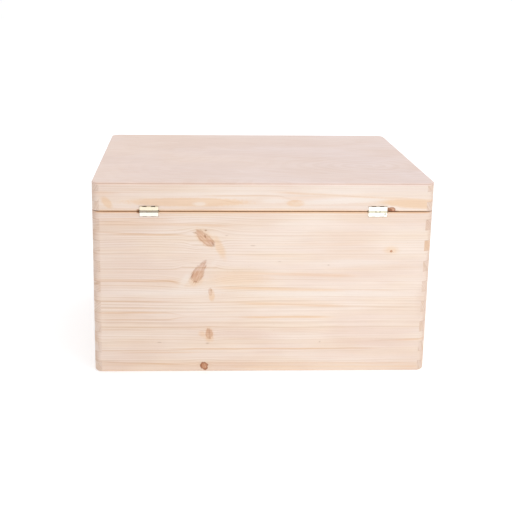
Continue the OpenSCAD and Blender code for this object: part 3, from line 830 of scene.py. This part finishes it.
# %% Face of a plywood sheet
VENEER = (0.888, 0.728, 0.678, 1.0)
FIGURE_TINT = (0.93, 0.87, 0.81)
STREAK_TINT = (0.93, 0.89, 0.85)
BLOTCH_TINT = (0.965, 0.945, 0.93)
WIDE_TINT = (1.0, 0.985, 0.955)
WARM_END_TINT = (1.0, 0.985, 0.95)
WARM_END_REACH = 150.0
ARC_CENTRE = (-135.0, 60.0)
ARC_STEP = 11.0


def rise_and_drop(tree, phase, rise_from, rise_to, drop_from):
    """One year of a peeled figure: it darkens slowly and stops at once."""
    dark = ramp(tree, phase, rise_from, rise_to)
    return maths(tree, "MULTIPLY", dark, ramp(tree, phase, drop_from, 1.0, 1.0, 0.0))


def veneer_arcs(tree, x, y, wide):
    """Long oval rings round one place, where the knife passed over a hump in the log."""
    arc_x = maths(tree, "MULTIPLY", maths(tree, "SUBTRACT", x, ARC_CENTRE[0]), 0.5)
    arc_y = maths(tree, "SUBTRACT", y, ARC_CENTRE[1])
    arcs = vector_maths(tree, "LENGTH", combine(tree, arc_x, arc_y), output="Value")
    arcs = maths(tree, "MULTIPLY_ADD", wide, 60.0, arcs)
    arc = maths(tree, "FRACT", maths(tree, "DIVIDE", arcs, ARC_STEP))
    arc = rise_and_drop(tree, arc, 0.25, 0.8, 0.85)
    return maths(tree, "MULTIPLY", arc, ramp(tree, arcs, 30.0, 120.0, 0.5, 0.12))


def veneer_colour(tree, sheet, fibres_at):
    """Colour of the peeled face, with its fibres. Returns the colour and the fibres."""
    x, y, z = split(tree, sheet)
    peel = stretched_noise(tree, fibres_at, (0.004, 0.022, 0.0), detail=2.0, distortion=0.6)
    flame = maths(tree, "FRACT", maths(tree, "MULTIPLY", peel, 14.0))
    flame = rise_and_drop(tree, flame, 0.2, 0.85, 0.88)
    fibres = stretched_noise(tree, fibres_at, (0.05, 2.4, 2.4), detail=4.0, roughness=0.6)
    blotches = stretched_noise(tree, fibres_at, (0.008, 0.02, 0.02), detail=3.0)
    wide = stretched_noise(tree, fibres_at, (0.006, 0.010, 0.0), detail=1.0)
    streak = stretched_noise(tree, fibres_at, (0.016, 0.45, 0.45), detail=2.0)
    colour = tint(tree, maths(tree, "MULTIPLY", flame, 0.26), VENEER, FIGURE_TINT)
    colour = tint(tree, veneer_arcs(tree, x, y, wide), colour, STREAK_TINT)
    colour = tint(tree, ramp(tree, blotches, 0.36, 0.64), colour, BLOTCH_TINT)
    colour = tint(tree, ramp(tree, wide, 0.34, 0.62), colour, WIDE_TINT)
    warm_end = ramp(tree, x, -WARM_END_REACH, WARM_END_REACH)
    colour = tint(tree, warm_end, colour, WARM_END_TINT)
    colour = tint(tree, ramp(tree, streak, 0.66, 0.78), colour, STREAK_TINT)
    return scaled(tree, colour, ramp(tree, fibres, 0.3, 0.72, 0.95, 1.04)), fibres


print("veneer", VENEER[:3])


# %% Edge of a plywood sheet
PLIES = 3.0
PLY_END_TINT = (0.78, 0.70, 0.64)
EDGE_TINT = (0.93, 0.89, 0.855)
PLY_GLUE = (0.36, 0.22, 0.14, 1.0)


def edge_colour(tree, colour, height, normal, thickness):
    """The face's colour with its plies and glue lines added wherever the sheet was cut."""
    layer = maths(tree, "DIVIDE", height, thickness / PLIES)
    core = maths(tree, "MULTIPLY", ramp(tree, layer, 0.97, 1.03),
                 ramp(tree, layer, 1.97, 2.03, 1.0, 0.0))
    facing = split(tree, normal)
    towards_x = ramp(tree, maths(tree, "ABSOLUTE", facing[0]), 0.3, 0.9)
    flat = ramp(tree, maths(tree, "ABSOLUTE", facing[2]), 0.4, 0.9)
    cut = maths(tree, "SUBTRACT", 1.0, flat)
    outer_end = combine(tree, towards_x, towards_x, towards_x)
    core_end = combine(tree, maths(tree, "SUBTRACT", 1.0, towards_x), 0.0, 0.0)
    end_grain = split(tree, blend_colours(tree, core, outer_end, core_end))[0]
    colour = tint(tree, maths(tree, "MULTIPLY", end_grain, cut), colour, PLY_END_TINT)
    colour = tint(tree, cut, colour, EDGE_TINT)
    to_glue = maths(tree, "FRACT", maths(tree, "ADD", layer, 0.5))
    to_glue = maths(tree, "ABSOLUTE", maths(tree, "SUBTRACT", to_glue, 0.5))
    glue = maths(tree, "MULTIPLY", ramp(tree, to_glue, 0.02, 0.07, 1.0, 0.0), cut)
    return blend_colours(tree, maths(tree, "MULTIPLY", glue, 0.45), colour, PLY_GLUE)


print("plywood edges show", int(PLIES), "plies")


# %% Plywood material
def plywood_material(name, bottom, thickness, seed):
    """Three-ply sheet whose lower face is at a height, in millimetres."""
    material, tree, shader = new_material(name)
    seen = add_node(tree, "ShaderNodeTexCoord")
    sheet = add_node(tree, "ShaderNodeMapping", {
        "Vector": seen.outputs["Object"], "Location": (0.0, 0.0, -bottom),
        "Scale": (MM, MM, MM)}).outputs[0]
    fibres_at = vector_maths(tree, "ADD", sheet, (seed * 91.0, seed * 57.0, 0.0))
    colour, fibres = veneer_colour(tree, sheet, fibres_at)
    height = split(tree, sheet)[2]
    colour = edge_colour(tree, colour, height, seen.outputs["Normal"], thickness)
    bump = add_node(tree, "ShaderNodeBump", {"Strength": 0.3, "Distance": 0.0002, "Height": fibres})
    socket_value(tree, shader.inputs["Base Color"], colour)
    socket_value(tree, shader.inputs["Roughness"], ramp(tree, fibres, 0.3, 0.7, 0.52, 0.64))
    socket_value(tree, shader.inputs["Normal"], bump.outputs[0])
    shader.inputs["Specular IOR Level"].default_value = 0.35
    return material


dress("lid_top_panel", plywood_material("plywood_lid", bottom=232.0, thickness=3.0, seed=1.0))
dress("bottom_panel", plywood_material("plywood_bottom", bottom=0.0, thickness=4.0, seed=2.0))

# %% [markdown]
# ## Brass hinges
# The hinges are pressed from thin brass sheet with a bright plate on it. Rolling leaves fine lines,
# pressing leaves soft dents, and a little brown tarnish lies in scattered patches. Plain metal would
# mirror the white room and look like paper. So the leaves are pale, and the rolled knuckle between them
# is painted a duller colour as painted reflection and shade: grey-brown on one hinge and cream on the
# other. On the cream one the gaps between its three knuckles are painted in as dark shade lines,
# because they would be lost. One leaf also has a small painted shadow spot near its outer edge, just
# below the seam.

# %% Brass colours and places
BRASS = (0.90, 0.80, 0.62, 1.0)
PALE_BRASS = (0.95, 0.91, 0.81, 1.0)
# Colours of the knuckle band: painted reflection and shade.
KNUCKLE_DARK_REFLECTION = (0.27, 0.20, 0.13, 1.0)
KNUCKLE_CREAM_REFLECTION = (0.60, 0.535, 0.39, 1.0)
TARNISH_TINT = (0.90, 0.80, 0.64)
# Painted shade for the gaps between the knuckles.
GAP_SHADE_TINT = (0.35, 0.30, 0.24)
# Painted shadow: the tint of a small dark spot beside one hinge.
SHADOW_SPOT_TINT = (0.30, 0.27, 0.22)
HINGE_X = 133.5
KNUCKLE_HALF = 2.4
SHADOW_SPOT_OUT = 151.0
NO_SHADOW_SPOT = (0.0, 0.0)  # at the middle of the box's foot, far from any hinge
print("hinges", HINGE_X, "mm each side of the middle")


# %% Brass material
def brass_material(name, colour, roughness, knuckle_shade_colour, knuckle_shade, gap_shade=0.0, shadow_spot=NO_SHADOW_SPOT):
    """Bright pressed brass with rolling lines, a little tarnish, painted reflection and shade on the
    knuckle, painted shade in its gaps and a painted shadow spot.
    """
    material, tree, shader = new_material(name)
    place = vector_maths(tree, "SCALE", add_node(tree, "ShaderNodeTexCoord").outputs["Object"])
    place.node.inputs["Scale"].default_value = MM
    lines = stretched_noise(tree, place, (0.4, 9.0, 9.0), detail=3.0, roughness=0.6)
    dents = noise(tree, place, 0.7, detail=2.0)
    tarnish = ramp(tree, noise(tree, place, 0.9, detail=4.0, roughness=0.65), 0.52, 0.72)
    tinted = tint(tree, maths(tree, "MULTIPLY", tarnish, 0.5), colour, TARNISH_TINT)
    # Painted reflection and shade: a band round the pin takes the knuckle's duller colour.
    from_pin = maths(tree, "ABSOLUTE", maths(tree, "SUBTRACT", split(tree, place)[2], SEAM))
    knuckle_shade_mask = ramp(tree, from_pin, 0.9, 1.7, knuckle_shade, 0.0)
    tinted = blend_colours(tree, knuckle_shade_mask, tinted, knuckle_shade_colour)
    # Painted shade: dark lines in the gaps between the three knuckles.
    from_middle = maths(tree, "ABSOLUTE", split(tree, place)[0])
    from_hinge = maths(tree, "ABSOLUTE", maths(tree, "SUBTRACT", from_middle, HINGE_X))
    from_gap = maths(tree, "ABSOLUTE", maths(tree, "SUBTRACT", from_hinge, KNUCKLE_HALF))
    gap_shade_mask = ramp(tree, from_gap, 0.15, 0.5, gap_shade, 0.0)
    tinted = tint(tree, maths(tree, "MULTIPLY", gap_shade_mask, knuckle_shade_mask), tinted, GAP_SHADE_TINT)
    # Painted shadow: a small dark spot on the leaf, near its outer edge just below the seam.
    from_shadow_spot = vector_maths(tree, "DISTANCE", place, (shadow_spot[0], SHADOW_SPOT_OUT, shadow_spot[1]), output="Value")
    tinted = tint(tree, ramp(tree, from_shadow_spot, 0.7, 1.7, 1.0, 0.0), tinted, SHADOW_SPOT_TINT)
    socket_value(tree, shader.inputs["Base Color"], tinted)
    shader.inputs["Metallic"].default_value = 1.0
    rough = maths(tree, "ADD", ramp(tree, lines, 0.3, 0.7, roughness - 0.05, roughness + 0.08),
                  maths(tree, "MULTIPLY", tarnish, 0.12))
    socket_value(tree, shader.inputs["Roughness"], rough)
    relief = maths(tree, "MULTIPLY_ADD", lines, 0.3, dents)
    bump = add_node(tree, "ShaderNodeBump", {"Strength": 0.25, "Distance": 0.0001, "Height": relief})
    socket_value(tree, shader.inputs["Normal"], bump.outputs[0])
    return material


print("brass takes its colours, knuckle and dent from each piece")

# %% Hinges
dress("right_hinge_lid_leaf", brass_material("brass_right_lid", BRASS, 0.26, KNUCKLE_DARK_REFLECTION, 0.8))
dress("right_hinge_body_leaf", brass_material("brass_right_body", PALE_BRASS, 0.22, KNUCKLE_DARK_REFLECTION, 0.8))
dress("right_hinge_pin", brass_material("brass_right_pin", BRASS, 0.30, KNUCKLE_DARK_REFLECTION, 0.8))
dress("left_hinge_lid_leaf", brass_material("brass_left_lid", PALE_BRASS, 0.26, KNUCKLE_CREAM_REFLECTION, 0.85, gap_shade=1.0))
dress("left_hinge_body_leaf", brass_material(
    "brass_left_body", PALE_BRASS, 0.22, KNUCKLE_CREAM_REFLECTION, 0.85, gap_shade=1.0, shadow_spot=(-142.0, 197.8)))
dress("left_hinge_pin", brass_material("brass_left_pin", BRASS, 0.30, KNUCKLE_CREAM_REFLECTION, 0.85, gap_shade=1.0))
